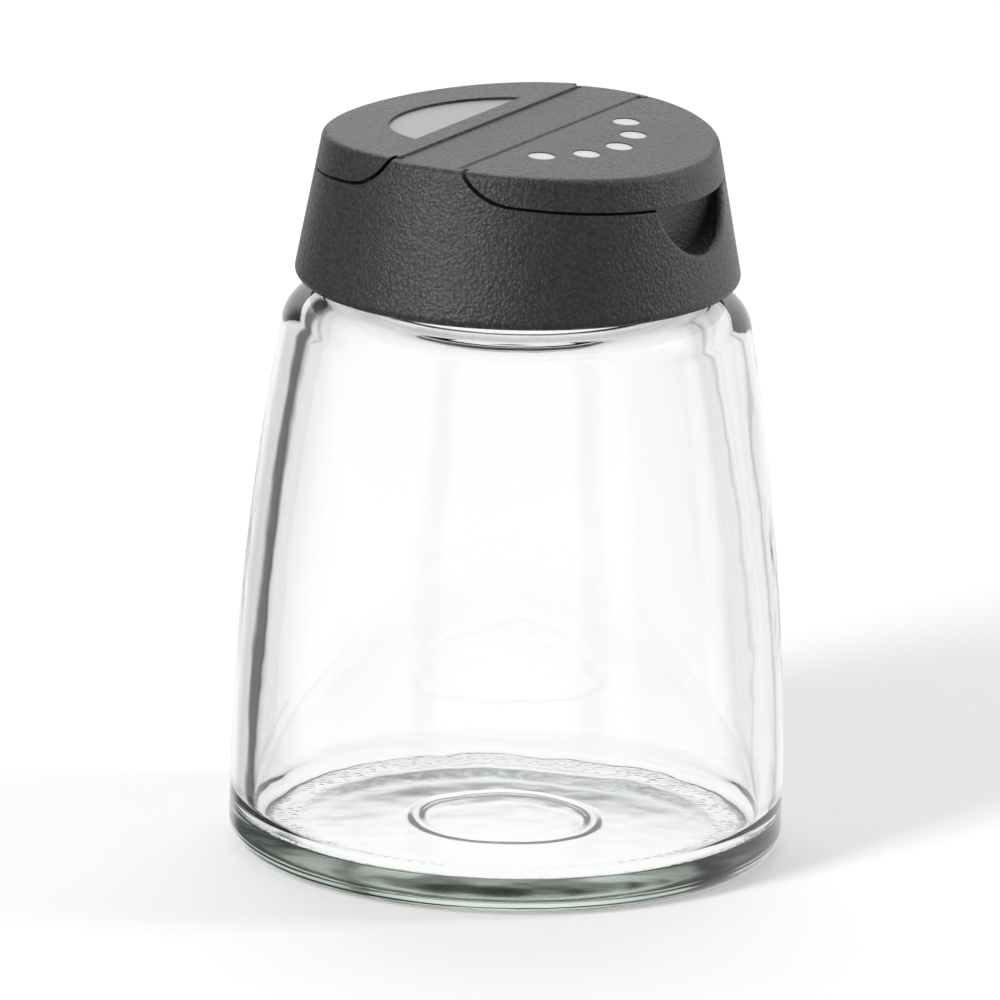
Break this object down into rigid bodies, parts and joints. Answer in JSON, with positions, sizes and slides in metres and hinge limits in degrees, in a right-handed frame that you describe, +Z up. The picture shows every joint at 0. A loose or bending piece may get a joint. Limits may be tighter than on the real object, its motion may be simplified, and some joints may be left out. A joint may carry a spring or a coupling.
{
  "type": "spice shaker",
  "caption": "Round glass table shaker with a dark screw cap: a flap over sprinkling holes and a flap over a pouring opening, hinged on a centre bridge.",
  "frame": {"origin": "centre of the jar's base, on the surface it stands on", "axes": "+Z up along the jar's axis, Y along the cap's bridge, +X towards the sprinkling flap"},
  "size_m": [0.0682, 0.0682, 0.0907],
  "materials": {
    "jar_glass": "clear pressed soda-lime glass, faintly green where thick",
    "cap_plastic": "charcoal polypropylene with a fine spark texture",
    "hinge_plastic": "charcoal polypropylene, thin and smooth",
    "insert_white": "white polypropylene, satin",
    "insert_grey": "pale grey polypropylene, satin",
    "gasket": "pale foamed polyethylene"
  },
  "bodies": {
    "jar": {"glass_jar": "jar_glass"},
    "seal": {"rim_gasket": "gasket"},
    "cap": {"cap_shell": "cap_plastic", "sprinkle_hinge_film": "hinge_plastic", "pour_hinge_film": "hinge_plastic"},
    "sprinkle_lid": {"sprinkle_flap": "cap_plastic", "sprinkle_insert": "insert_white"},
    "pour_lid": {"pour_flap": "cap_plastic", "pour_insert": "insert_grey"}
  },
  "joints": [
    {"name": "cap_lift", "type": "slide", "parent": "jar", "child": "seal", "axis": [0, 0, 1], "range_m": [0, 0.0054]},
    {"name": "cap_unscrew", "type": "hinge", "parent": "seal", "child": "cap", "pos_m": [0, 0, 0.0827], "axis": [0, 0, 1], "range_deg": [0, 540]},
    {"name": "sprinkle_hinge", "type": "hinge", "parent": "cap", "child": "sprinkle_lid", "pos_m": [0.0042, 0, 0.09014], "axis": [0, -1, 0], "range_deg": [0, 98], "deforming": ["sprinkle_hinge_film"]},
    {"name": "pour_hinge", "type": "hinge", "parent": "cap", "child": "pour_lid", "pos_m": [-0.0042, 0, 0.0903], "axis": [0, 1, 0], "range_deg": [0, 98], "deforming": ["pour_hinge_film"]}
  ],
  "couplings": [
    {"joint": "cap_lift", "follows": "cap_unscrew", "m_per_rad": 0.00057296}
  ]
}
